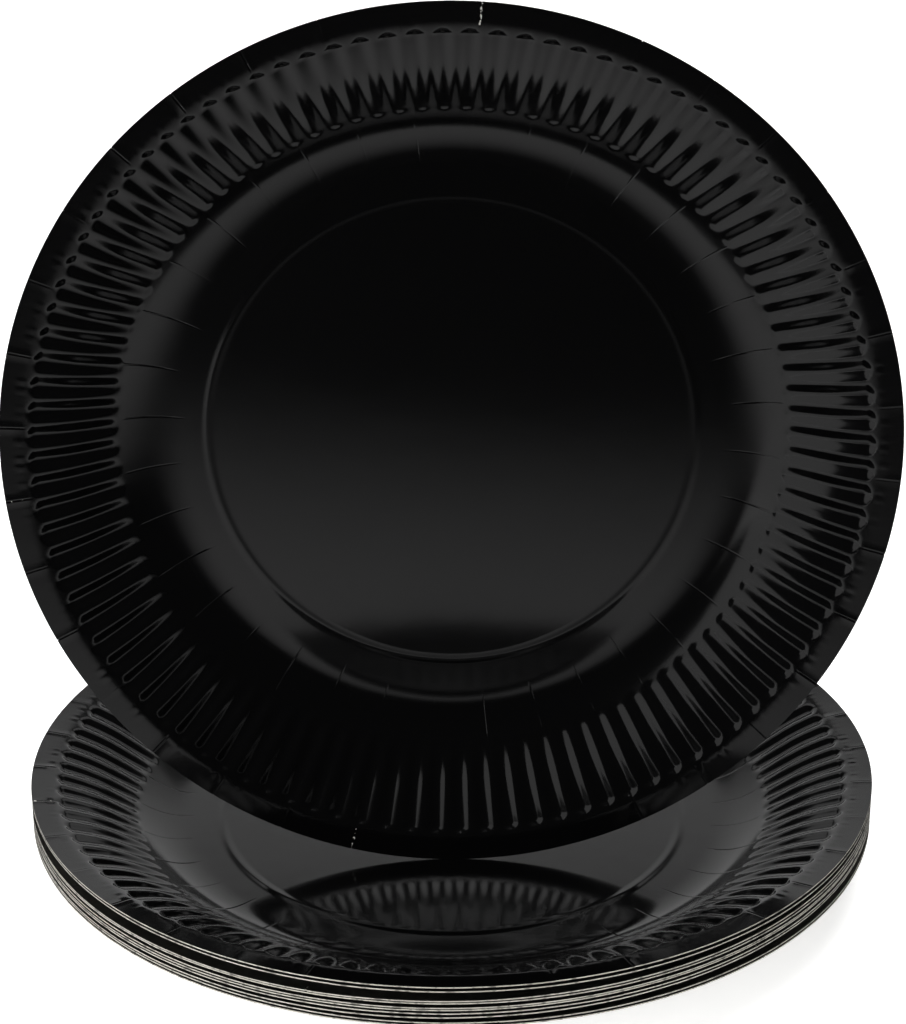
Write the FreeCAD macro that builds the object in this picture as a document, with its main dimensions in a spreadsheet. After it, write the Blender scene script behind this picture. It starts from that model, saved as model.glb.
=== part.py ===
import FreeCAD, Part
import math
import os
import Sketcher

# A stack of pressed paper plates lying one in another, and one more plate of the same kind
# standing on its rim in the top plate's well. Millimetres, +Z up. The origin is the centre
# of the lowest plate's underside. Every plate is one sheet of board, so one solid.

SIZES = (
    ("plate_diameter", 230.0),
    ("well_depth", 17.0),
    ("board", 0.4),
    ("rim_width", 7.6),
    ("rim_drop", 1.3),
    ("flute_count", 100),
    ("flute_length", 21.5),
    ("flute_depth", 1.0),
    ("flute_end_taper", 2.6),
    ("smooth_wall_width", 14.4),
    ("wall_foot_bevel", 4.6),
    ("inner_plate_sides", 80),
    ("lying_count", 10),
    ("smooth_count", 8),
    ("seat_gap", 0.1),
    ("small_lift", 0.21),
    ("bottom_group_count", 2),
    ("middle_group_count", 6),
    ("lower_group_lift", 1.2),
    ("upper_group_lift", 0.8),
    ("standing_lean", 3.1),
    ("standing_forward", 26.9),
    ("standing_turn", -0.6),
    ("standing_gap", 0.05),
)
TURN_STEP = math.radians(137.5)

doc = FreeCAD.newDocument("plate_stack")
sheet = doc.addObject("Spreadsheet::Sheet", "Sizes")
for row, (alias, value) in enumerate(SIZES, start=1):
    sheet.set(f"A{row}", alias)
    sheet.set(f"B{row}", str(value))
    sheet.setAlias(f"B{row}", alias)
doc.recompute()


def size(alias):
    """The number in the sheet's cell of that name."""
    return float(sheet.get(alias))


# The half section of every plate: the line of its underside from the axis out to the rim,
# above the flat base. The flutes and the smooth wall below them share one slope. The top
# side is the same line one board thickness higher.
RADIUS = "<<Sizes>>.plate_diameter / 2"
FLANGE_RADIUS = f"{RADIUS} - <<Sizes>>.rim_width"
FLUTE_FOOT_RADIUS = f"{FLANGE_RADIUS} - <<Sizes>>.flute_length"
BASE_RADIUS = f"{FLUTE_FOOT_RADIUS} - <<Sizes>>.smooth_wall_width"
RIM_HEIGHT = "<<Sizes>>.well_depth"
FLANGE_HEIGHT = "<<Sizes>>.well_depth - <<Sizes>>.rim_drop"
ORIGIN_POINT = (-1, 1)


def plate_section():
    """The half section as a sketch of four lines: base, smooth wall, fluted flange, rim."""
    sketch = doc.addObject("Sketcher::SketchObject", "plate_section")
    sketch.Placement.Rotation = FreeCAD.Rotation(FreeCAD.Vector(1, 0, 0), 90)
    rough = [(0, 0), (70, 0), (86, 6), (107, 15), (115, 17)]
    points = [FreeCAD.Vector(across, up, 0) for across, up in rough]
    for start, end in zip(points, points[1:]):
        sketch.addGeometry(Part.LineSegment(start, end), False)
    base, wall, flange, rim = range(4)
    near_end, far_end = 1, 2
    sketch.addConstraint(Sketcher.Constraint("Coincident", base, near_end, *ORIGIN_POINT))
    for inner, outer in ((base, wall), (wall, flange), (flange, rim)):
        sketch.addConstraint(Sketcher.Constraint("Coincident", inner, far_end, outer, near_end))
    sketch.addConstraint(Sketcher.Constraint("Horizontal", base))
    sketch.addConstraint(Sketcher.Constraint("Parallel", wall, flange))
    spans = (
        ("DistanceX", base, BASE_RADIUS),
        ("DistanceX", wall, FLUTE_FOOT_RADIUS),
        ("DistanceX", flange, FLANGE_RADIUS),
        ("DistanceX", rim, RADIUS),
        ("DistanceY", flange, FLANGE_HEIGHT),
        ("DistanceY", rim, RIM_HEIGHT),
    )
    for kind, line, length in spans:
        across, up = rough[line + 1]
        first = across if kind == "DistanceX" else up
        constraint = Sketcher.Constraint(kind, *ORIGIN_POINT, line, far_end, float(first))
        sketch.setExpression(f"Constraints[{sketch.addConstraint(constraint)}]", length)
    doc.recompute()
    return sketch


section = plate_section()
BASE_END, FLUTE_FOOT, FLANGE_END, RIM_END = [line.EndPoint for line in section.Geometry]


def ring(count, radius, height, turn=0.0):
    """Points evenly round the axis. The turn is a share of one step."""
    step = 2.0 * math.pi / count
    angles = [(number + turn) * step for number in range(count)]
    return [FreeCAD.Vector(radius * math.cos(a), radius * math.sin(a), height) for a in angles]


def facet(*points):
    """One flat face through the points."""
    return Part.Face(Part.makePolygon(list(points) + [points[0]]))


def band(outer, inner):
    """Flat faces between two rings of as many points."""
    count = len(outer)
    faces = []
    for here in range(count):
        after = (here + 1) % count
        faces.append(facet(outer[here], outer[after], inner[after], inner[here]))
    return faces


def thinning_band(outer, inner):
    """Three-cornered faces between two rings that differ in their number of points."""
    faces = []
    here, there = 0, 0
    while here < len(outer) or there < len(inner):
        across = outer[here % len(outer)]
        below = inner[there % len(inner)]
        if (2 * here + 1) * len(inner) <= (2 * there + 1) * len(outer):
            here += 1
            faces.append(facet(across, outer[here % len(outer)], below))
        else:
            there += 1
            faces.append(facet(across, inner[there % len(inner)], below))
    return faces


def flute_band(outer, inner, deep_outer, deep_inner):
    """Flutes pressed down between the radial lines that join the outer and inner rings."""
    faces = []
    for here in range(len(outer)):
        after = (here + 1) % len(outer)
        faces.append(facet(outer[here], outer[after], deep_outer[here]))
        faces.append(facet(inner[after], inner[here], deep_inner[here]))
        faces.append(facet(outer[here], deep_outer[here], deep_inner[here]))
        faces.append(facet(outer[here], deep_inner[here], inner[here]))
        faces.append(facet(outer[after], inner[after], deep_inner[here]))
        faces.append(facet(outer[after], deep_inner[here], deep_outer[here]))
    return faces


def wall_point(radius):
    """The point of the section's sloping wall at that radius."""
    share = (radius - BASE_END.x) / (FLANGE_END.x - BASE_END.x)
    return FreeCAD.Vector(radius, share * FLANGE_END.y, 0)


def smooth_side(lift):
    """One side of a plate without its flutes, raised by lift, and its rim's ring."""
    count = int(size("inner_plate_sides"))
    rim, flange, foot = [
        ring(count, point.x, point.y + lift) for point in (RIM_END, FLANGE_END, BASE_END)
    ]
    return band(rim, flange) + band(flange, foot) + [facet(*foot)], rim


def fluted_side(lift):
    """One side of a fluted plate, raised by lift, and its rim's ring of points."""
    count = int(size("flute_count"))
    taper = size("flute_end_taper")
    press = lift - size("flute_depth")
    bevel = size("wall_foot_bevel")
    rim = ring(count, RIM_END.x, RIM_END.y + lift)
    outer = ring(count, FLANGE_END.x, FLANGE_END.y + lift)
    inner = ring(count, FLUTE_FOOT.x, FLUTE_FOOT.y + lift)
    deep = [wall_point(FLANGE_END.x - taper), wall_point(FLUTE_FOOT.x + taper)]
    deep_outer, deep_inner = [ring(count, point.x, point.y + press, 0.5) for point in deep]
    bevel_top = wall_point(BASE_END.x + bevel)
    top = ring(count // 2, bevel_top.x, bevel_top.y + lift)
    foot = ring(count // 2, BASE_END.x - bevel, lift)
    faces = band(rim, outer)
    faces += flute_band(outer, inner, deep_outer, deep_inner)
    faces += thinning_band(inner, top)
    faces += band(top, foot)
    faces.append(facet(*foot))
    return faces, rim


def closed_sheet(side):
    """A plate's solid: its underside, its top side and the cut edge between their rims."""
    under, under_rim = side(0.0)
    upper, upper_rim = side(size("board"))
    shell = Part.makeShell(under + upper + band(upper_rim, under_rim))
    shell.sewShape()
    solid = Part.makeSolid(shell)
    if solid.Volume < 0:
        solid.reverse()
    return solid


def rim_lean(number):
    """The rise across X and Y, per millimetre, of a lying plate's rim. The lowest lies flat."""
    radius = size("plate_diameter") / 2
    if number == 1:
        return FreeCAD.Vector(0, 0, 0)
    small = size("small_lift")
    turn = number * TURN_STEP
    lean = FreeCAD.Vector(small * math.cos(turn), small * math.sin(turn), 0)
    if number > size("bottom_group_count"):
        lean.x += size("lower_group_lift")
    if number > size("bottom_group_count") + size("middle_group_count"):
        lean.x -= size("upper_group_lift")
    return lean / radius


def rise_onto(number):
    """How far a lying plate's middle is above that of the plate that it lies in."""
    radius = size("plate_diameter") / 2
    lift = (rim_lean(number) - rim_lean(number - 1)).Length * radius
    fluted = number > size("smooth_count")
    fluted_below = number - 1 > size("smooth_count")
    flutes = size("flute_depth") if fluted and not fluted_below else 0.0
    return size("board") + size("seat_gap") + flutes + lift


def lying_placement(number, height):
    """A lying plate's place: its middle at that height, leaned about the middle of its rim."""
    lean = rim_lean(number)
    pivot = FreeCAD.Vector(0, 0, size("well_depth"))
    axis = FreeCAD.Vector(-lean.y, lean.x, 0) * -1.0
    angle = math.degrees(math.atan(lean.Length))
    if lean.Length == 0:
        axis = FreeCAD.Vector(0, 0, 1)
    rotation = FreeCAD.Rotation(axis, angle)
    return FreeCAD.Placement(FreeCAD.Vector(0, 0, height), rotation, pivot)


def standing_placement(seat):
    """Upright with its eating side to -Y, leaned back, its rim's lowest point on the seat."""
    upright = FreeCAD.Rotation(FreeCAD.Vector(1, 0, 0), 90.0 - size("standing_lean"))
    own_turn = FreeCAD.Rotation(FreeCAD.Vector(0, 0, 1), size("standing_turn"))
    foot = FreeCAD.Vector(0, -size("plate_diameter") / 2, size("well_depth"))
    lowest = seat + FreeCAD.Vector(0, 0, size("standing_gap"))
    return FreeCAD.Placement(lowest - upright.multVec(foot), upright.multiply(own_turn))


pieces = []
height = 0.0
placement = FreeCAD.Placement()
fluted = closed_sheet(fluted_side)
smooth = closed_sheet(smooth_side)
for number in range(1, int(size("lying_count")) + 1):
    name = f"plate_{number:02d}"
    if number > 1:
        height += rise_onto(number)
    placement = lying_placement(number, height)
    plate = doc.addObject("Part::Feature", name)
    plate.Label = name
    plate.Shape = fluted if number > size("smooth_count") else smooth
    plate.Placement = placement
    pieces.append(plate)

standing = doc.addObject("Part::Feature", "standing_plate")
standing.Label = "standing_plate"
standing.Shape = fluted
seat_point = FreeCAD.Vector(0, -size("standing_forward"), size("board"))
standing.Placement = standing_placement(placement.multVec(seat_point))
pieces.append(standing)

doc.recompute()
for thing in doc.Objects:
    if "Invalid" in thing.State or "Error" in thing.State:
        raise RuntimeError(f"{thing.Name} did not build")
os.makedirs("parts", exist_ok=True)
for piece in pieces:
    shape = piece.Shape
    if shape.isNull() or not shape.isValid() or shape.Volume <= 0:
        raise RuntimeError(f"{piece.Label} has no sound shape")
for piece in pieces:
    piece.Shape.exportStep(f"parts/{piece.Label}.step")
    box = piece.Shape.BoundBox
    print(piece.Label, round(piece.Shape.Volume), round(box.ZMin, 3), round(box.ZMax, 3))
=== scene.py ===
"""Black pressed paper plates: a lying stack, and one more plate standing in its top well.

Every plate is one sheet of board: a glossy black coat on the face that food lies on, and raw
board on the cut edge and the underside. Its section is turned round the axis, 100 flutes are
pressed into the slope, and 36 score creases cross the wall and the rim.
"""
import logging
import math
from dataclasses import dataclass, field
from enum import Enum
from typing import Any, Optional, Union

import bpy
import numpy as np
from mathutils import Matrix, Quaternion, Vector


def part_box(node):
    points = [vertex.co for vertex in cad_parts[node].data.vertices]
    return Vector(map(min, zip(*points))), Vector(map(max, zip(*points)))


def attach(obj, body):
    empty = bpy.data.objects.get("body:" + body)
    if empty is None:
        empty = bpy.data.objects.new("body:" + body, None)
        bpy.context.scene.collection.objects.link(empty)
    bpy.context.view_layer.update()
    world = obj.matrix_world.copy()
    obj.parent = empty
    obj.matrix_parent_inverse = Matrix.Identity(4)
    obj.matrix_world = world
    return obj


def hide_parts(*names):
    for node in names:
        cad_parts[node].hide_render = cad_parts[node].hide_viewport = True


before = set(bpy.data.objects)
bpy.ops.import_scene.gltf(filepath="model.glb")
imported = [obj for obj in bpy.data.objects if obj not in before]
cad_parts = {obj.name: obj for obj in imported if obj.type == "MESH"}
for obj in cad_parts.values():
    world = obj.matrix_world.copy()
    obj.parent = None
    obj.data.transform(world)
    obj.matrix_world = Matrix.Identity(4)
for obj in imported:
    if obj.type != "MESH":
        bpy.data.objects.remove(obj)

LOG = logging.getLogger("plates")
MM = 0.001
TURN = 2.0 * math.pi
WELD_DISTANCE = 0.001 * MM
SHARP_ANGLE = math.radians(60.0)
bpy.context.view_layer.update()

Number = Union[int, float]
Colour = tuple[float, float, float]
Pair = tuple[float, float]


class Socket:
    """The output of a node, on which Python's own operators work."""

    def __init__(self, tree: "Tree", link: Optional[bpy.types.NodeSocket]) -> None:
        """Wraps one output.

        Args:
            tree: The tree that the output's node is in.
            link: The output itself, or None for a node that has none.
        """
        self.tree = tree
        self.link = link

    def math(self, operation: str, *others: Union["Socket", Number]) -> "Socket":
        """The result of a Math node whose first value is this output.

        Args:
            operation: The Math node's operation.
            others: Its other values, numbers or outputs.

        Returns:
            The node's result.
        """
        values = dict(enumerate((self, *others)))
        return self.tree.add("ShaderNodeMath", {"operation": operation}, values)

    def __add__(self, other: Union["Socket", Number]) -> "Socket":
        """This value plus another."""
        return self.math("ADD", other)

    __radd__ = __add__

    def __sub__(self, other: Union["Socket", Number]) -> "Socket":
        """This value less another."""
        return self.math("SUBTRACT", other)

    def __rsub__(self, other: Number) -> "Socket":
        """A number less this value."""
        return self.math("MULTIPLY", -1.0).math("ADD", other)

    def __mul__(self, other: Union["Socket", Number]) -> "Socket":
        """This value times another."""
        return self.math("MULTIPLY", other)

    __rmul__ = __mul__

    def __truediv__(self, other: Union["Socket", Number]) -> "Socket":
        """This value over another."""
        return self.math("DIVIDE", other)

    def __mod__(self, other: Union["Socket", Number]) -> "Socket":
        """What is left of this value after whole steps of another, never below zero."""
        return self.math("FLOORED_MODULO", other)

    def ease(self, start: Union["Socket", Number], end: Union["Socket", Number]) -> "Socket":
        """A smooth step of this value.

        Args:
            start: Where the step leaves 0.
            end: Where it reaches 1.

        Returns:
            The step, from 0 to 1.
        """
        settings = {"interpolation_type": "SMOOTHSTEP"}
        return self.tree.add("ShaderNodeMapRange", settings, {0: self, 1: start, 2: end})


class Tree:
    """A node tree that is built one node at a time."""

    def __init__(self, tree: bpy.types.NodeTree) -> None:
        """Wraps a tree and empties it.

        Args:
            tree: The node tree of a material, a world or a modifier.
        """
        self.tree = tree
        tree.nodes.clear()

    def add(
        self,
        kind: str,
        settings: Optional[dict[str, Any]] = None,
        inputs: Optional[dict[Union[int, str], Any]] = None,
        output: Union[int, str] = 0,
    ) -> Socket:
        """Adds a node.

        Args:
            kind: The node's type.
            settings: Its properties. "items" are the names of what a Capture Attribute node
                keeps.
            inputs: Its sockets' values or links, by name or number.
            output: The output to hand back, by name or number.

        Returns:
            That output.
        """
        node = self.tree.nodes.new(kind)
        for name, value in (settings or {}).items():
            if name == "items":
                for item in value:
                    node.capture_items.new("FLOAT", item)
            else:
                setattr(node, name, value)
        for key, value in (inputs or {}).items():
            if isinstance(value, Socket):
                self.tree.links.new(value.link, node.inputs[key])
            else:
                node.inputs[key].default_value = value
        return Socket(self, node.outputs[output] if len(node.outputs) else None)

    def split(self, vector: Socket) -> tuple[Socket, Socket, Socket]:
        """A vector's X, Y and Z."""
        node = self.add("ShaderNodeSeparateXYZ", {}, {0: vector}).link.node
        return tuple(Socket(self, output) for output in node.outputs)

    def noise(self, place: Socket, scale: Union[Socket, float], detail: float) -> Socket:
        """The value of a Noise Texture node.

        Args:
            place: Where it is read.
            scale: How many of its waves a metre holds.
            detail: How many finer layers it has.

        Returns:
            The noise, from 0 to 1.
        """
        values = {"Vector": place, "Scale": scale, "Detail": detail}
        return self.add("ShaderNodeTexNoise", {}, values)

    def blend(self, share: Socket, first: Union[Socket, Colour], second: Colour) -> Socket:
        """A colour between two.

        Args:
            share: 0 for the first colour and 1 for the second.
            first: The first colour.
            second: The second colour.

        Returns:
            The colour.
        """
        start = first if isinstance(first, Socket) else (*first, 1.0)
        values = {0: share, 6: start, 7: (*second, 1.0)}
        return self.add("ShaderNodeMix", {"data_type": "RGBA"}, values, output=2)


def in_metres(pair: Pair) -> Pair:
    """Two lengths that are given in millimetres."""
    return pair[0] * MM, pair[1] * MM


def new_material(name: str) -> tuple[bpy.types.Material, Tree]:
    """Makes an empty material.

    Args:
        name: Its name.

    Returns:
        The material and its tree.
    """
    material = bpy.data.materials.new(name)
    material.use_nodes = True
    return material, Tree(material.node_tree)


@dataclass(frozen=True)
class Zone:
    """A stretch of a plate's section, cut into equal steps.

    Attributes:
        end: The radius at which it ends, in millimetres.
        fine: Its steps on a plate that shows.
        coarse: Its steps on a plate that lies hidden in the stack.
    """

    end: float
    fine: int
    coarse: int


class Detail(Enum):
    """How finely a plate's section is cut."""

    FINE = "fine"
    COARSE = "coarse"


@dataclass(frozen=True)
class PlateSection:
    """The half section of a plate, from its axis to its rim, in millimetres and degrees.

    The wall rises from the base in a wide round foot, is steepest where the flutes begin,
    eases towards their outer ends and turns over a shoulder into the nearly flat rim. A fine
    ring is embossed in the base.
    """

    radius: float = 115.0
    height: float = 17.0
    board: float = 0.4
    foot_start: float = 71.6
    foot_end: float = 87.6
    ease_start: float = 90.0
    ease_end: float = 106.0
    shoulder_start: float = 107.2
    shoulder_end: float = 110.6
    steep: float = 34.0
    gentle: float = 19.5
    rim_slope: float = 6.5
    ring_radius: float = 63.6
    ring_half_width: float = 1.5
    ring_depth: float = 0.19
    summing_step: float = 0.05
    zones: tuple[Zone, ...] = (
        Zone(61.5, 2, 1),
        Zone(65.7, 8, 0),
        Zone(84.5, 12, 5),
        Zone(88.0, 7, 2),
        Zone(104.5, 5, 1),
        Zone(108.9, 8, 3),
        Zone(112.0, 6, 1),
        Zone(115.0, 2, 1),
    )
    edge_shares: Pair = (0.42, 0.84)

    @staticmethod
    def _ease(value: float, start: float, end: float) -> float:
        """A smooth step from 0 at start to 1 at end."""
        share = min(max((value - start) / (end - start), 0.0), 1.0)
        return share * share * (3.0 - 2.0 * share)

    def slope(self, radius: float) -> float:
        """The section's slope at a radius.

        Args:
            radius: The distance from the axis.

        Returns:
            The slope, as rise over run.
        """
        steep = math.tan(math.radians(self.steep))
        gentle = math.tan(math.radians(self.gentle))
        rim = math.tan(math.radians(self.rim_slope))
        slope = steep * self._ease(radius, self.foot_start, self.foot_end)
        slope -= (steep - gentle) * self._ease(radius, self.ease_start, self.ease_end)
        slope -= (gentle - rim) * self._ease(radius, self.shoulder_start, self.shoulder_end)
        return slope

    def radii(self, detail: Detail) -> list[float]:
        """The radii at which the section has points.

        Args:
            detail: How finely it is cut.

        Returns:
            The radii from the axis outwards.
        """
        radii = [0.0]
        for zone in self.zones:
            steps = zone.fine if detail is Detail.FINE else zone.coarse
            start = radii[-1]
            for step in range(1, steps + 1):
                radii.append(start + (zone.end - start) * step / steps)
        return radii

    def heights(self, radii: list[float]) -> list[float]:
        """The underside's heights, scaled so that the rim is at full height.

        Args:
            radii: Where they are read.

        Returns:
            The height at each radius, with the ring in the base.
        """
        step = self.summing_step
        grid = np.arange(0.0, self.radius + step, step)
        slopes = np.array([self.slope(value) for value in grid])
        rise = np.concatenate([[0.0], np.cumsum((slopes[1:] + slopes[:-1]) * step / 2)])
        rise *= self.height / np.interp(self.radius, grid, rise)
        heights = np.interp(radii, grid, rise)
        away = np.abs(np.array(radii) - self.ring_radius) / self.ring_half_width
        ring = self.ring_depth * np.clip(1.0 - away, 0.0, 1.0)
        return [float(height + lift) for height, lift in zip(heights, ring)]

    def outline(self, detail: Detail) -> tuple[list[Pair], int]:
        """The section's outline: the underside, the cut edge and the face.

        Args:
            detail: How finely it is cut.

        Returns:
            The points, radius and height, from the axis out and back to it, and how many of
            them the underside has.
        """
        radii = self.radii(detail)
        under = list(zip(radii, self.heights(radii)))
        edge = [(self.radius, self.height + self.board * share) for share in self.edge_shares]
        face = [(radius, height + self.board) for radius, height in reversed(under)]
        return under + edge + face, len(under)


@dataclass(frozen=True)
class GlossBlack:
    """The coated face: black, smooth and glossy, with chips of pale fibre at worn creases.

    Scales are waves in a metre, and heights are in metres.
    """

    name: str = "gloss_black"
    colour: Colour = (0.0011, 0.0011, 0.0012)
    fibre: Colour = (0.42, 0.41, 0.38)
    roughness: float = 0.13
    roughness_spread: float = 0.05
    mottle_scale: float = 60.0
    chip_scale: float = 1400.0
    chip_wear_share: float = 0.6
    chip_noise_share: float = 1.2
    chip_edge: Pair = (1.14, 1.26)
    chip_roughness: float = 0.5
    peel_scale: float = 900.0
    peel_height: float = 0.0000016
    wave_scale: float = 45.0
    wave_height: float = 0.00006

    def build(self) -> bpy.types.Material:
        """Makes the material.

        Returns:
            The material, which reads the sheet's wear attribute.
        """
        material, tree = new_material(self.name)
        place = tree.add("ShaderNodeTexCoord", output="Object")
        wear = tree.add("ShaderNodeAttribute", {"attribute_name": "wear"}, output="Fac")
        chips = tree.noise(place, self.chip_scale, detail=3.0)
        chipped = wear * self.chip_wear_share + chips * self.chip_noise_share
        chipped = chipped.ease(*self.chip_edge)
        colour = tree.blend(chipped, self.colour, self.fibre)
        mottle = tree.noise(place, self.mottle_scale, detail=4.0)
        rough = mottle * self.roughness_spread + (self.roughness - self.roughness_spread / 2)
        rough = rough + chipped * self.chip_roughness
        peel = tree.noise(place, self.peel_scale, detail=2.0)
        wave = tree.noise(place, self.wave_scale, detail=2.0)
        height = peel * self.peel_height + wave * self.wave_height
        bump = tree.add("ShaderNodeBump", {}, {"Height": height, "Distance": 1.0, "Strength": 1.0})
        values = {"Base Color": colour, "Roughness": rough, "Normal": bump}
        shader = tree.add("ShaderNodeBsdfPrincipled", {}, values)
        tree.add("ShaderNodeOutputMaterial", {}, {"Surface": shader})
        return material


@dataclass(frozen=True)
class RawBoard:
    """Uncoated board: pale, matt and fibrous. The cut edge is specked with torn coating.

    Scales are waves in a metre, and heights are in metres.
    """

    name: str = "raw_board"
    light: Colour = (0.60, 0.575, 0.51)
    dark: Colour = (0.44, 0.42, 0.37)
    speck: Colour = (0.05, 0.048, 0.045)
    specks: float = 0.0
    roughness: float = 0.86
    fibre_scale: float = 700.0
    fibre_height: float = 0.00002
    fibre_share: float = 0.6
    cloud_scale: float = 90.0
    mottle_edge: Pair = (0.35, 0.65)
    torn_scale: float = 520.0
    torn_edge: Pair = (0.5, 0.68)

    def build(self) -> bpy.types.Material:
        """Makes the material.

        Returns:
            The material, with specks where it has any.
        """
        material, tree = new_material(self.name)
        place = tree.add("ShaderNodeTexCoord", output="Object")
        fibre = tree.noise(place, self.fibre_scale, detail=6.0)
        cloud = tree.noise(place, self.cloud_scale, detail=3.0)
        mottle = fibre * self.fibre_share + cloud * (1.0 - self.fibre_share)
        colour = tree.blend(mottle.ease(*self.mottle_edge), self.dark, self.light)
        if self.specks:
            torn = tree.noise(place, self.torn_scale, detail=5.0)
            colour = tree.blend(torn.ease(*self.torn_edge) * self.specks, colour, self.speck)
        height = fibre * self.fibre_height
        bump = tree.add("ShaderNodeBump", {}, {"Height": height, "Distance": 1.0})
        values = {"Base Color": colour, "Roughness": self.roughness, "Normal": bump}
        shader = tree.add("ShaderNodeBsdfPrincipled", {}, values)
        tree.add("ShaderNodeOutputMaterial", {}, {"Surface": shader})
        return material


@dataclass(frozen=True)
class Flutes:
    """The flutes pressed down into the slope, in millimetres.

    Attributes:
        count: How many there are.
        depth: How deep they are from the full radius outwards.
        inner: The radius at which they start.
        inner_end: The length over which they round in there.
        outer: The radius at which they stop.
        outer_end: The length over which they round off there.
        inner_share: The share of the depth that they start with.
        full: The radius from which they are at full depth.
        narrowing: How much they narrow over a rounded end.
    """

    count: int = 100
    depth: float = 1.0
    inner: float = 85.9
    inner_end: float = 1.2
    outer: float = 108.6
    outer_end: float = 1.7
    inner_share: float = 0.24
    full: float = 94.5
    narrowing: float = 3.5


@dataclass(frozen=True)
class Creases:
    """The score creases across the wall and the rim, in millimetres.

    Attributes:
        count: How many there are.
        depth: How deep a common one is.
        half_width: Half a crease's width, as a share of a column.
        draw_in: The length past the wall's creases, and before the rim's, over which the
            columns beside a crease are still drawn in to it.
        wall: Where they start and end in the wall.
        wall_start_spread: How far a crease's start may lie from there.
        wall_end_spread: How far its end may.
        wall_fade: The length over which a crease sets in or ends in the wall.
        wall_depths: The least and the most depth in the wall, as a share.
        rim: Where they set in again on the rim.
        rim_fade: The length over which they do.
        rim_depths: The least and the most depth on the rim, as a share.
        ridge_share: The height of the ridge beside a crease, as a share of its depth.
        wear_widths: The wear on a crease, beside it and one column further.
    """

    count: int = 36
    depth: float = 0.11
    half_width: float = 0.3
    draw_in: float = 1.5
    wall: Pair = (72.0, 86.0)
    wall_start_spread: Pair = (-1.0, 2.5)
    wall_end_spread: Pair = (-0.8, 0.8)
    wall_fade: float = 0.8
    wall_depths: Pair = (0.35, 1.15)
    rim: float = 108.7
    rim_fade: float = 0.6
    rim_depths: Pair = (0.2, 1.2)
    ridge_share: float = 0.3
    wear_widths: tuple[float, float, float] = (1.0, 0.8, 0.55)


@dataclass(frozen=True)
class Relief:
    """The fine relief that the press leaves by chance, in millimetres.

    Attributes:
        pleat_height: How far the rim tilts between two creases.
        pleat_zone: Where that sets in, from the rim's creases.
        pinch_depth: The depth of the pinches past the flutes' outer ends.
        pinch_zone: Where they start and end.
        pinch_fades: The lengths over which they do.
        pinch_sides: Their sides, as shares of a flute's half width.
        nick_depth: How deep the edge is nicked at a crease at most.
        nick_zone: Where the nick sets in, from the edge.
        wave_height: The height of the slow wave in the wall and the rim.
        wave_scale: How many waves a metre holds.
    """

    pleat_height: float = 0.05
    pleat_zone: Pair = (-3.0, 4.0)
    pinch_depth: float = 0.07
    pinch_zone: Pair = (108.7, 112.0)
    pinch_fades: Pair = (0.8, 1.8)
    pinch_sides: Pair = (0.3, 0.8)
    nick_depth: float = 0.35
    nick_zone: Pair = (-0.2, -0.1)
    wave_height: float = 0.07
    wave_scale: float = 28.0


class Draw(Enum):
    """What a random number decides. The value is its offset from the plate's seed."""

    WALL_START = 1
    WALL_END = 2
    WALL_DEPTH = 3
    RIM_DEPTH = 4
    NICK = 5
    WEAR = 6
    PLEAT_TILT = 7
    PINCH = 8


@dataclass(frozen=True)
class Spot:
    """What the tree knows of a point of the grid.

    Attributes:
        column: Its column, counted round the plate.
        band: Its station along the outline. At a face's middle it lies between two.
        radius: Its distance from the axis.
        height: The section's height there.
        crease: The number of the nearest crease.
        turned: Its place round the plate, counted in creases.
        on_crease: 1 in a crease's own column.
        beside: 1 in the columns next to that.
        near: 1 one column further.
        angle: Its angle round the axis, with the columns beside a crease drawn in to it.
        flute: Its place round the plate, counted in flutes.
        sideways: Its distance from a flute's middle, 1 at the flute's side.
    """

    column: Socket
    band: Socket
    radius: Socket
    height: Socket
    crease: Socket
    turned: Socket
    on_crease: Socket
    beside: Socket
    near: Socket
    angle: Socket
    flute: Socket
    sideways: Socket


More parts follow.
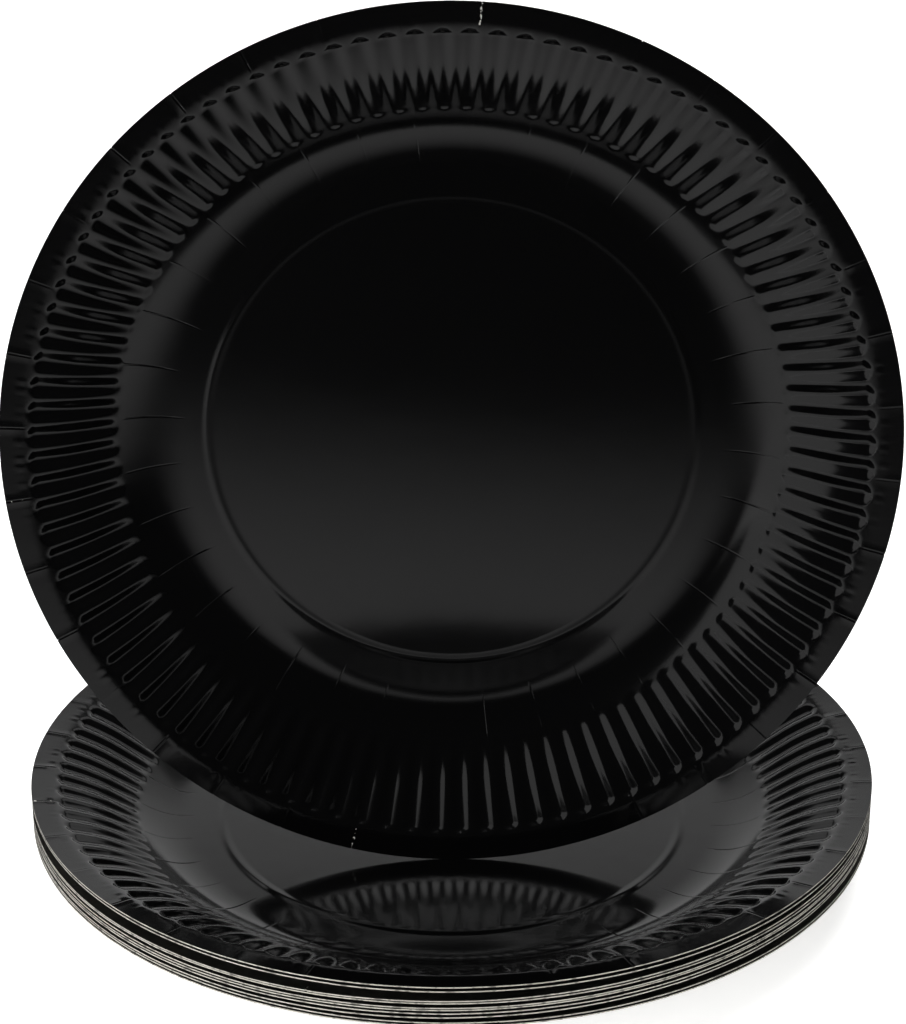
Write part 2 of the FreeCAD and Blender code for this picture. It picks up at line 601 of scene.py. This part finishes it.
class PressTree:
    """The Geometry Nodes tree that presses a plate from its section's outline.

    A grid has a column for each step round the plate and a station for each point of the
    outline. Each of its points is carried to its spot on the turned section, and from there
    up or down by the flutes, the creases and the fine relief.
    """

    def __init__(
        self, counts: list[str], sizes: list[str], creases: Creases, relief: Relief
    ) -> None:
        """Builds the tree.

        Args:
            counts: The names of its whole-number inputs.
            sizes: The names of its other number inputs.
            creases: The creases, whose spreads and fades are fixed in the tree.
            relief: The relief, whose zones are fixed in the tree.
        """
        self.creases = creases
        self.relief = relief
        self.group = bpy.data.node_groups.new("pressed_plate", "GeometryNodeTree")
        self.tree = Tree(self.group)
        self.sockets: dict[str, str] = {}
        self._name_inputs(["Outline"], "NodeSocketGeometry")
        self._name_inputs(counts, "NodeSocketInt")
        self._name_inputs(sizes, "NodeSocketFloat")
        self._name_inputs(["Face", "Cut Edge", "Back"], "NodeSocketMaterial")
        self.group.interface.new_socket(
            name="Plate", in_out="OUTPUT", socket_type="NodeSocketGeometry"
        )
        source = self.group.nodes.new("NodeGroupInput")
        named = [socket for socket in source.outputs if socket.name]
        self.given = {socket.name: Socket(self.tree, socket) for socket in named}
        grid, spot = self._lay_grid()
        self._form(grid, spot)

    def _name_inputs(self, names: list[str], kind: str) -> None:
        """Adds named inputs to the tree and remembers their identifiers.

        Args:
            names: The inputs' names.
            kind: Their socket type.
        """
        for name in names:
            socket = self.group.interface.new_socket(name=name, in_out="INPUT", socket_type=kind)
            self.sockets[name] = socket.identifier

    def _lay_grid(self) -> tuple[Socket, Spot]:
        """Lays the flat grid and finds each point's spot on the plate.

        Returns:
            The grid and the spot.
        """
        tree, given = self.tree, self.given
        stations = given["Stations"]
        columns = given["Columns"]
        counts = {"Size X": columns, "Size Y": stations - 1,
                  "Vertices X": columns + 1, "Vertices Y": stations}
        grid = tree.add("GeometryNodeMeshGrid", {}, counts)
        place = tree.add("GeometryNodeInputPosition")
        across, along, _ = tree.split(place)
        column = (across + columns * 0.5 + 0.5).math("FLOOR")
        band = along + (stations - 1) * 0.5
        point = tree.add(
            "GeometryNodeSampleIndex",
            {"data_type": "FLOAT_VECTOR", "domain": "POINT"},
            {"Geometry": given["Outline"], "Value": place, "Index": (band + 0.5).math("FLOOR")},
        )
        radius, _, height = tree.split(point)

        spacing = columns / given["Crease Count"]
        shifted = column - given["Crease Turn"] + spacing * 0.5
        offset = shifted % spacing - spacing * 0.5
        steps_off = offset.math("ABSOLUTE")
        on_crease = offset.math("COMPARE", 0.0, 0.5)
        beside = steps_off.math("COMPARE", 1.0, 0.5)
        near = steps_off.math("COMPARE", 2.0, 0.5)

        draw_in = self.creases.draw_in * MM
        creased = 1 - radius.ease(given["Wall Crease End"], given["Wall Crease End"] + draw_in)
        creased = creased + radius.ease(
            given["Rim Crease Start"] - draw_in, given["Rim Crease Start"]
        )
        half_width = given["Crease Half Width"]
        pull = (beside * (1 - half_width) + near * (2 - half_width * 2.0)) * creased
        angle = (column - pull * offset.math("SIGN")) * TURN / columns
        flute = (angle - given["Flute Turn"]) * given["Flute Count"] / TURN
        spot = Spot(
            column=column,
            band=band,
            radius=radius,
            height=height,
            crease=(shifted / spacing).math("FLOOR"),
            turned=(column - given["Crease Turn"]) / spacing,
            on_crease=on_crease,
            beside=beside,
            near=near,
            angle=angle,
            flute=flute,
            sideways=((flute % 1.0) * 2.0 - 1.0).math("ABSOLUTE"),
        )
        return grid, spot

    def _draw(self, span: Pair, decides: Draw, owner: Socket) -> Socket:
        """A random number.

        Args:
            span: The least and the most that it can be.
            decides: What it decides.
            owner: The number of what it belongs to, such as a crease.

        Returns:
            The number, which is the same for each point of one owner.
        """
        seed = self.given["Seed"] + decides.value
        values = {2: span[0], 3: span[1], "ID": owner, "Seed": seed}
        return self.tree.add("FunctionNodeRandomValue", {"data_type": "FLOAT"}, values, output=1)

    def _flute(self, spot: Spot) -> Socket:
        """How far a flute presses a point down.

        Args:
            spot: The point.

        Returns:
            The depth.
        """
        given = self.given
        inner_end = given["Flute Inner End"]
        outer_end = given["Flute Outer End"]
        past_inner = (given["Flute Inner"] + inner_end - spot.radius) / inner_end
        past_outer = (spot.radius - given["Flute Outer"] + outer_end) / outer_end
        lengthways = past_inner.math("MAXIMUM", past_outer).math("MAXIMUM", 0.0)
        narrowed = spot.sideways * spot.sideways * (1 + lengthways * given["Flute Narrowing"])
        away = (narrowed + lengthways * lengthways).math("SQRT").math("MINIMUM", 1.0)
        least = given["Flute Inner Share"]
        share = least + (1 - least) * spot.radius.ease(given["Flute Inner"], given["Flute Full"])
        return ((away * math.pi).math("COSINE") * 0.5 + 0.5) * given["Flute Depth"] * share

    def _on_rim(self, spot: Spot) -> Socket:
        """1 where the rim's creases are, and 0 further in."""
        start = self.given["Rim Crease Start"]
        return spot.radius.ease(start, start + self.creases.rim_fade * MM)

    def _crease(self, spot: Spot) -> Socket:
        """How far a crease lowers a point, less the ridge beside it.

        Args:
            spot: The point.

        Returns:
            The depth, which is below 0 on the ridge.
        """
        given, creases, radius = self.given, self.creases, spot.radius
        sooner = self._draw(in_metres(creases.wall_start_spread), Draw.WALL_START, spot.crease)
        later = self._draw(in_metres(creases.wall_end_spread), Draw.WALL_END, spot.crease)
        start = given["Wall Crease Start"] + sooner
        end = given["Wall Crease End"] + later
        fade = creases.wall_fade * MM
        in_wall = radius.ease(start, start + fade) * (1 - radius.ease(end - fade, end))
        on_rim = self._on_rim(spot)
        deep = in_wall * self._draw(creases.wall_depths, Draw.WALL_DEPTH, spot.crease)
        deep = deep + on_rim * self._draw(creases.rim_depths, Draw.RIM_DEPTH, spot.crease)
        ridge = on_rim * deep * spot.beside * given["Crease Depth"] * creases.ridge_share
        return deep * spot.on_crease * given["Crease Depth"] - ridge

    def _pleat(self, spot: Spot) -> Socket:
        """How far the rim's tilt between two creases lifts a point.

        Args:
            spot: The point.

        Returns:
            The lift.
        """
        start = self.given["Rim Crease Start"]
        inner, outer = in_metres(self.relief.pleat_zone)
        tilt = self._draw((-1.0, 1.0), Draw.PLEAT_TILT, spot.turned.math("FLOOR"))
        across = spot.turned.math("FRACT") * 2.0 - 1.0
        share = (1 - spot.on_crease) * spot.radius.ease(start + inner, start + outer)
        return across * tilt * share * self.given["Pleat Height"]

    def _pinch(self, spot: Spot) -> Socket:
        """How far a pinch past a flute's outer end moves a point, up or down by its column.

        Args:
            spot: The point.

        Returns:
            The lift.
        """
        given = self.given
        start_fade, end_fade = in_metres(self.relief.pinch_fades)
        strength = self._draw((0.0, 1.0), Draw.PINCH, spot.flute.math("FLOOR"))
        pinch = strength * (spot.column % 3.0 - 1)
        pinch = pinch * (1 - spot.sideways.ease(*self.relief.pinch_sides))
        pinch = pinch * spot.radius.ease(given["Pinch Start"], given["Pinch Start"] + start_fade)
        pinch = pinch * (1 - spot.radius.ease(given["Pinch End"] - end_fade, given["Pinch End"]))
        return pinch * given["Pinch Depth"]

    def _wave(self, spot: Spot) -> Socket:
        """How far the slow wave in the wall and the rim lowers a point.

        Args:
            spot: The point.

        Returns:
            The depth.
        """
        given = self.given
        place = self._at_angle(spot, spot.radius, given["Seed"] * 1.0)
        noise = self.tree.noise(place, given["Wave Scale"], detail=1.0)
        free = spot.radius.ease(given["Wall Crease Start"], given["Rim Crease Start"])
        return noise * given["Wave Height"] * free

    def _crown(self, spot: Spot) -> Socket:
        """How far the sprung base lifts a point.

        Args:
            spot: The point.

        Returns:
            The lift, which is most at the axis.
        """
        share = (spot.radius / self.given["Wall Crease Start"]).math("MINIMUM", 1.0)
        return (1 - share * share) * self.given["Crown"]

    def _nick(self, spot: Spot) -> Socket:
        """How far the cut edge is bitten in at a crease.

        Args:
            spot: The point.

        Returns:
            The depth, inwards.
        """
        edge = self.given["Radius"]
        inner, outer = in_metres(self.relief.nick_zone)
        at_edge = spot.radius.ease(edge + inner, edge + outer)
        bite = self._draw((0.0, 1.0), Draw.NICK, spot.crease)
        return bite * bite * bite * self.given["Nick Depth"] * spot.on_crease * at_edge

    def _wear(self, spot: Spot) -> Socket:
        """How worn the coating is: a few of the rim's creases are.

        Args:
            spot: The point.

        Returns:
            The wear, from 0 to 1.
        """
        on, beside, near = self.creases.wear_widths
        width = spot.on_crease * on + spot.beside * beside + spot.near * near
        much = self._draw((0.0, 1.0), Draw.WEAR, spot.crease)
        return self._on_rim(spot) * width * much * much * much

    def _at_angle(self, spot: Spot, radius: Socket, height: Socket) -> Socket:
        """The place at a spot's angle round the axis.

        Args:
            spot: The point whose angle it is.
            radius: The distance from the axis.
            height: The height.

        Returns:
            The place.
        """
        values = {0: spot.angle.math("COSINE") * radius, 1: spot.angle.math("SINE") * radius,
                  2: height}
        return self.tree.add("ShaderNodeCombineXYZ", {}, values)

    def _form(self, grid: Socket, spot: Spot) -> None:
        """Carries the grid's points to their places, closes the sheet and gives it its finishes.

        Args:
            grid: The flat grid.
            spot: What is known of each of its points.
        """
        tree, given = self.tree, self.given
        lift = self._pleat(spot) + self._pinch(spot) + self._crown(spot)
        drop = self._flute(spot) + self._crease(spot) + self._wave(spot)
        goal = self._at_angle(spot, spot.radius - self._nick(spot), spot.height - drop + lift)

        banded = tree.add(
            "GeometryNodeCaptureAttribute",
            {"domain": "FACE", "items": ("band",)},
            {"Geometry": grid, 1: spot.band},
        )
        band = Socket(tree, banded.link.node.outputs[1])
        worn = tree.add(
            "GeometryNodeStoreNamedAttribute",
            {"data_type": "FLOAT", "domain": "POINT"},
            {"Geometry": banded, "Name": "wear", "Value": self._wear(spot)},
        )
        pressed = tree.add("GeometryNodeSetPosition", {}, {"Geometry": worn, "Position": goal})
        closed = tree.add(
            "GeometryNodeMergeByDistance", {}, {"Geometry": pressed, "Distance": WELD_DISTANCE}
        )
        smooth = tree.add(
            "GeometryNodeSetShadeSmooth",
            {"domain": "FACE"},
            {"Geometry": closed, "Shade Smooth": True},
        )
        corner = tree.add("GeometryNodeInputMeshEdgeAngle").math("GREATER_THAN", SHARP_ANGLE)
        sharp = tree.add(
            "GeometryNodeSetShadeSmooth",
            {"domain": "EDGE"},
            {"Geometry": smooth, "Selection": corner, "Shade Smooth": False},
        )
        sheet = tree.add("GeometryNodeRealizeInstances", {}, {"Geometry": sharp})
        under = given["Underside Stations"]
        dressings = (
            ("Face", None),
            ("Cut Edge", band.math("LESS_THAN", under + 1.0)),
            ("Back", band.math("LESS_THAN", under - 1.0)),
        )
        for finish, chosen in dressings:
            values = {"Geometry": sheet, "Material": given[finish]}
            if chosen is not None:
                values["Selection"] = chosen
            sheet = tree.add("GeometryNodeSetMaterial", {}, values)
        tree.add("NodeGroupOutput", {}, {0: sheet})


@dataclass(frozen=True)
class Variant:
    """What sets one plate apart from the next.

    Attributes:
        detail: How finely its section is cut.
        crease_turn: How far its creases are turned, in columns.
        seed: What sets its own wear.
        flute_turn: How far its flutes are turned, in degrees.
        crown: How far the middle of its base is sprung up, in millimetres.
    """

    detail: Detail
    crease_turn: int
    seed: int
    flute_turn: float = 0.0
    crown: float = 0.0


@dataclass
class PlatePress:
    """The press that forms every plate: it turns the section and presses flutes and creases.

    The columns are the steps round the plate: both the flutes and the creases are a whole
    number of them apart.
    """

    section: PlateSection = field(default_factory=PlateSection)
    flutes: Flutes = field(default_factory=Flutes)
    creases: Creases = field(default_factory=Creases)
    relief: Relief = field(default_factory=Relief)
    columns: int = 900
    edge_specks: float = 0.7

    def __post_init__(self) -> None:
        """Builds the finishes and the node tree once, for all plates."""
        self.finishes = {
            "Face": GlossBlack().build(),
            "Back": RawBoard().build(),
            "Cut Edge": RawBoard(name="cut_edge", specks=self.edge_specks).build(),
        }
        plain = Variant(Detail.COARSE, 0, 0)
        counts = list(self._counts(plain, 0, 0))
        self.tree = PressTree(counts, list(self._sizes(plain)), self.creases, self.relief)

    def _counts(self, plate: Variant, stations: int, under: int) -> dict[str, int]:
        """The tree's whole-number inputs.

        Args:
            plate: The plate that they are for.
            stations: How many points its outline has.
            under: How many of them its underside has.

        Returns:
            Their values by name.
        """
        return {
            "Stations": stations,
            "Underside Stations": under,
            "Columns": self.columns,
            "Seed": plate.seed,
        }

    def _sizes(self, plate: Variant) -> dict[str, float]:
        """The tree's other number inputs: lengths in metres, shares, counts and turns.

        Args:
            plate: The plate that they are for.

        Returns:
            Their values by name.
        """
        lengths = {
            "Flute Depth": self.flutes.depth,
            "Flute Inner": self.flutes.inner,
            "Flute Inner End": self.flutes.inner_end,
            "Flute Outer": self.flutes.outer,
            "Flute Outer End": self.flutes.outer_end,
            "Flute Full": self.flutes.full,
            "Crease Depth": self.creases.depth,
            "Wall Crease Start": self.creases.wall[0],
            "Wall Crease End": self.creases.wall[1],
            "Rim Crease Start": self.creases.rim,
            "Pleat Height": self.relief.pleat_height,
            "Pinch Depth": self.relief.pinch_depth,
            "Pinch Start": self.relief.pinch_zone[0],
            "Pinch End": self.relief.pinch_zone[1],
            "Nick Depth": self.relief.nick_depth,
            "Wave Height": self.relief.wave_height,
            "Radius": self.section.radius,
            "Crown": plate.crown,
        }
        others = {
            "Flute Count": float(self.flutes.count),
            "Flute Inner Share": self.flutes.inner_share,
            "Flute Narrowing": self.flutes.narrowing,
            "Flute Turn": math.radians(plate.flute_turn),
            "Crease Count": float(self.creases.count),
            "Crease Half Width": self.creases.half_width,
            "Crease Turn": float(plate.crease_turn),
            "Wave Scale": self.relief.wave_scale,
        }
        return {name: length * MM for name, length in lengths.items()} | others

    def press(self, name: str, plate: Variant) -> bpy.types.Mesh:
        """Presses one plate, lying flat with the middle of its underside at the origin.

        Args:
            name: The mesh's name.
            plate: What sets it apart.

        Returns:
            The plate's mesh, in metres.
        """
        points, under = self.section.outline(plate.detail)
        chain = bpy.data.meshes.new(name + "_outline")
        vertices = [(across * MM, 0.0, up * MM) for across, up in points]
        chain.from_pydata(vertices, [(n, n + 1) for n in range(len(points) - 1)], [])
        carrier = bpy.data.objects.new(name + "_press", chain)
        bpy.context.scene.collection.objects.link(carrier)
        modifier = carrier.modifiers.new("press", "NODES")
        modifier.node_group = self.tree.group
        values = self._counts(plate, len(points), under) | self._sizes(plate) | self.finishes
        for label, value in values.items():
            modifier[self.tree.sockets[label]] = value
        graph = bpy.context.evaluated_depsgraph_get()
        mesh = bpy.data.meshes.new_from_object(
            carrier.evaluated_get(graph), preserve_all_data_layers=True, depsgraph=graph
        )
        mesh.name = name
        bpy.data.objects.remove(carrier)
        bpy.data.meshes.remove(chain)
        return mesh


# A solid's corners that agree to so many decimals are one.
SAME_DECIMALS = 7
# Those past this share of the greatest radius are on the rim.
RIM_SHARE = 0.99


@dataclass(frozen=True)
class Seat:
    """Where a plate of the frame lies: the middle of its underside, and how it is turned."""

    middle: Vector
    turn: Quaternion

    @classmethod
    def of_node(cls, name: str) -> "Seat":
        """Finds a plate's axis from its solid's corners, which lie evenly round it.

        Args:
            name: The node's name.

        Returns:
            The plate's seat.
        """
        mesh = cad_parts[name].data
        corners = np.zeros(len(mesh.vertices) * 3, np.float32)
        mesh.vertices.foreach_get("co", corners)
        corners = corners.reshape(-1, 3).astype(float)
        corners = np.unique(np.round(corners, SAME_DECIMALS), axis=0)
        centre = corners.mean(axis=0)
        spread = corners - centre
        axis = np.linalg.eigh(spread.T @ spread)[1][:, 0]
        along = spread @ axis
        far = np.linalg.norm(spread - np.outer(along, axis), axis=1)
        on_rim = far > far.max() * RIM_SHARE
        if along[on_rim].mean() < 0:
            axis = -axis
            along = -along
        middle = Vector(centre + axis * along.min())
        return cls(middle, Vector((0.0, 0.0, 1.0)).rotation_difference(Vector(axis)))

    def matrix(self) -> Matrix:
        """The matrix that carries a flat plate to this seat."""
        return Matrix.Translation(self.middle) @ self.turn.to_matrix().to_4x4()


@dataclass
class Plates:
    """The plates of the frame, each pressed and laid where its solid is."""

    press: PlatePress
    body: str = "root"
    slot: str = "black_board"
    crease_step: int = 7
    top_crease_turn: int = 6
    top_seed: int = 13
    standing: str = "standing_plate"
    standing_crease_turn: int = 16
    standing_flute_turn: float = -0.6
    standing_crown: float = 1.5

    def build(self) -> None:
        """Makes one piece for each plate."""
        lying = sorted(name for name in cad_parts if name.startswith("plate_"))
        for number, name in enumerate(lying[:-1], start=1):
            self._plate(name, Variant(Detail.COARSE, number * self.crease_step, number))
        self._plate(lying[-1], Variant(Detail.FINE, self.top_crease_turn, self.top_seed))
        standing = Variant(
            Detail.FINE,
            self.standing_crease_turn,
            len(lying) + 1,
            self.standing_flute_turn,
            self.standing_crown,
        )
        self._plate(self.standing, standing)

    def _plate(self, node: str, plate: Variant) -> None:
        """Presses one plate, lays it at its solid's seat and hides the solid.

        Args:
            node: The solid's node.
            plate: What sets the plate apart.
        """
        mesh = self.press.press("pressed_" + node, plate)
        mesh.transform(Seat.of_node(node).matrix())
        piece = bpy.data.objects.new("pressed_" + node, mesh)
        bpy.context.scene.collection.objects.link(piece)
        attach(piece, self.body)
        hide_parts(node)
        corners = np.array([vertex.co for vertex in mesh.vertices])
        low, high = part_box(node)
        past = max((np.array(low) - corners.min(0)).max(), (corners.max(0) - np.array(high)).max())
        triangles = sum(len(face.vertices) - 2 for face in mesh.polygons)
        LOG.info("%s: %d triangles, %.3f mm past its solid's box", node, triangles, past / MM)


@dataclass(frozen=True)
class StudioPaper:
    """White paper that keeps a shadow. The camera sees it paler; a gloss shows it with painted
    shade.

    Attributes:
        name: The material's name.
        white: Its brightness in plain light.
        dim: The brightness of its painted shade in a reflection, where it is darkest.
        camera_glow: What is added where the camera sees it.
        fade: From where to where its painted shade turns from dim to white in a reflection,
        from the front to the back.
        fade_slant: How much nearer the front that is for each metre to the right.
        lit_left: From here to the left the painted light reaches nearer to the front.
        lit_left_rise: How much nearer for each metre.
        front_shade: How much of the white more painted shade holds back in front of the shade
            zone.
        shade_zone: From where to where that lessens to nothing.
    """

    name: str = "studio_paper"
    white: float = 0.80
    dim: float = 0.02
    camera_glow: float = 0.68
    fade: Pair = (-0.60, -0.10)
    fade_slant: float = -0.3
    lit_left: float = -0.2
    lit_left_rise: float = 2.2
    front_shade: float = 0.36
    shade_zone: Pair = (0.2, 0.6)

    def build(self) -> bpy.types.Material:
        """Makes the material.

        Returns:
            The material, for a sheet in metres.
        """
        material, tree = new_material(self.name)
        camera = tree.add("ShaderNodeLightPath", output="Is Camera Ray")
        gloss = tree.add("ShaderNodeLightPath", output="Is Glossy Ray")
        through = tree.add("ShaderNodeLightPath", output="Is Transmission Ray")
        place = tree.add("ShaderNodeTexCoord", output="Object")
        across, away, _ = tree.split(place)
        # Painted shade and light, seen only in reflections: the paper's colour darkens towards the
        # front and the right, whitens nearer the front on the left, and holds back more white in
        # front of the shade zone.
        left = (self.lit_left - across).math("MAXIMUM", 0.0) * self.lit_left_rise
        near = away + across * self.fade_slant + left
        shade = away.ease(*self.shade_zone) * self.front_shade + (1 - self.front_shade)
        dark = 1 - near.ease(*self.fade) * shade
        mirrored = gloss.math("MAXIMUM", through)
        colour = tree.blend(dark * mirrored, (self.white,) * 3, (self.dim,) * 3)
        matt = tree.add("ShaderNodeBsdfDiffuse", {}, {"Color": colour})
        values = {"Color": (1.0, 1.0, 1.0, 1.0), "Strength": camera * self.camera_glow}
        glow = tree.add("ShaderNodeEmission", {}, values)
        both = tree.add("ShaderNodeAddShader", {}, {0: matt, 1: glow})
        tree.add("ShaderNodeOutputMaterial", {}, {"Surface": both})
        return material


@dataclass(frozen=True)
class SoftBox:
    """A lamp with a rectangular face. The camera doesn't see it.

    Attributes:
        name: The lamp's name.
        place: Where it stands.
        aim: What it points at.
        size: Its width and height.
        watts: Its power.
        mirrored: Whether a glossy surface shows it.
    """

    name: str
    place: tuple[float, float, float]
    aim: tuple[float, float, float]
    size: Pair
    watts: float
    mirrored: bool

    def hang(self) -> None:
        """Puts the lamp in the scene."""
        light = bpy.data.lights.new(self.name, "AREA")
        light.shape = "RECTANGLE"
        light.size, light.size_y = self.size
        light.energy = self.watts
        lamp = bpy.data.objects.new(self.name, light)
        lamp.location = self.place
        lamp.rotation_mode = "QUATERNION"
        way = Vector(self.aim) - Vector(self.place)
        lamp.rotation_quaternion = way.to_track_quat("-Z", "Y")
        lamp.visible_glossy = self.mirrored
        lamp.visible_camera = False
        bpy.context.scene.collection.objects.link(lamp)


# What most of the lamps point at: a place low behind the standing plate.
LAMP_AIM = (0.0, 0.1, 0.05)


@dataclass
class Studio:
    """The pale floor and backdrop, the soft lights and the camera, in metres and degrees.

    The lights are a wide one above, a strip over the front, and panels left, front and back.
    """

    camera_distance: float = 0.7330
    camera_height_angle: float = 28.34
    camera_look_down: float = 23.11
    camera_side: float = 0.0004
    camera_clip_start: float = 0.01
    focal_pixels: float = 2641.5
    frame_pixels: float = 906.0
    sensor: float = 36.0
    floor_front: float = -1.3
    floor_back: float = 1.25
    floor_half_width: float = 1.5
    floor_drop: float = 0.00005
    backdrop_radius: float = 0.35
    backdrop_height: float = 1.05
    bend_steps: int = 16
    world_white: float = 1.0
    world_dim: float = 0.02
    paper: StudioPaper = field(default_factory=StudioPaper)
    lamps: tuple[SoftBox, ...] = (
        SoftBox("overhead", (0.0, 0.4, 1.2), (0.0, 0.4, 0.0), (1.1, 1.0), 12.5, False),
        SoftBox("strip_box", (0.0, -0.28, 1.2), LAMP_AIM, (0.9, 0.3), 6.5, True),
        SoftBox("left_wall", (-1.1, -0.66, 0.6), (0.0, -0.66, 0.6), (1.32, 1.18), 3.3, True),
        SoftBox("front_fill", (-0.7, -1.4, 0.6), LAMP_AIM, (1.0, 0.7), 17.0, False),
        SoftBox("back_panel", (0.0, 1.55, 1.75), LAMP_AIM, (2.6, 0.85), 4.4, True),
    )

    def build(self) -> None:
        """Makes the stage, the lights and the camera."""
        self._world()
        self._sweep()
        for lamp in self.lamps:
            lamp.hang()
        self._camera()
        bpy.context.scene.view_settings.view_transform = "Standard"

    def _world(self) -> None:
        """A dim room that the camera sees as white."""
        world = bpy.data.worlds.new("room")
        bpy.context.scene.world = world
        world.use_nodes = True
        tree = Tree(world.node_tree)
        seen = tree.add("ShaderNodeLightPath", output="Is Camera Ray")
        strength = seen * (self.world_white - self.world_dim) + self.world_dim
        values = {"Color": (1.0, 1.0, 1.0, 1.0), "Strength": strength}
        light = tree.add("ShaderNodeBackground", {}, values)
        tree.add("ShaderNodeOutputWorld", {}, {"Surface": light})

    def _sweep(self) -> None:
        """One sheet of paper: the floor, a round bend and the backdrop behind."""
        line = [(self.floor_front, 0.0), (self.floor_back, 0.0)]
        for step in range(1, self.bend_steps + 1):
            angle = math.pi / 2 * step / self.bend_steps
            away = self.floor_back + self.backdrop_radius * math.sin(angle)
            line.append((away, self.backdrop_radius * (1.0 - math.cos(angle))))
        line.append((line[-1][0], self.backdrop_height))
        half = self.floor_half_width
        vertices = [(side * half, y, z - self.floor_drop) for y, z in line for side in (-1, 1)]
        faces = [(2 * n, 2 * n + 1, 2 * n + 3, 2 * n + 2) for n in range(len(line) - 1)]
        mesh = bpy.data.meshes.new("paper_sweep")
        mesh.from_pydata(vertices, [], faces)
        mesh.materials.append(self.paper.build())
        for face in mesh.polygons:
            face.use_smooth = True
        sweep = bpy.data.objects.new("paper_sweep", mesh)
        bpy.context.scene.collection.objects.link(sweep)

    def _camera(self) -> None:
        """The camera, placed from the middle of the top lying plate's rim."""
        top = max(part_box(name)[1].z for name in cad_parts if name.startswith("plate_"))
        angle = math.radians(self.camera_height_angle)
        data = bpy.data.cameras.new("camera")
        data.sensor_fit = "HORIZONTAL"
        data.sensor_width = self.sensor
        data.lens = self.focal_pixels / self.frame_pixels * self.sensor
        data.clip_start = self.camera_clip_start
        camera = bpy.data.objects.new("camera", data)
        camera.location = (
            self.camera_side,
            -self.camera_distance * math.cos(angle),
            top + self.camera_distance * math.sin(angle),
        )
        camera.rotation_euler = (math.radians(90.0 - self.camera_look_down), 0.0, 0.0)
        bpy.context.scene.collection.objects.link(camera)
        bpy.context.scene.camera = camera


def main() -> None:
    """Builds the plates and the studio."""
    logging.basicConfig(level=logging.INFO, format="%(name)s: %(message)s")
    Plates(PlatePress()).build()
    Studio().build()


if __name__ == "__main__":
    main()
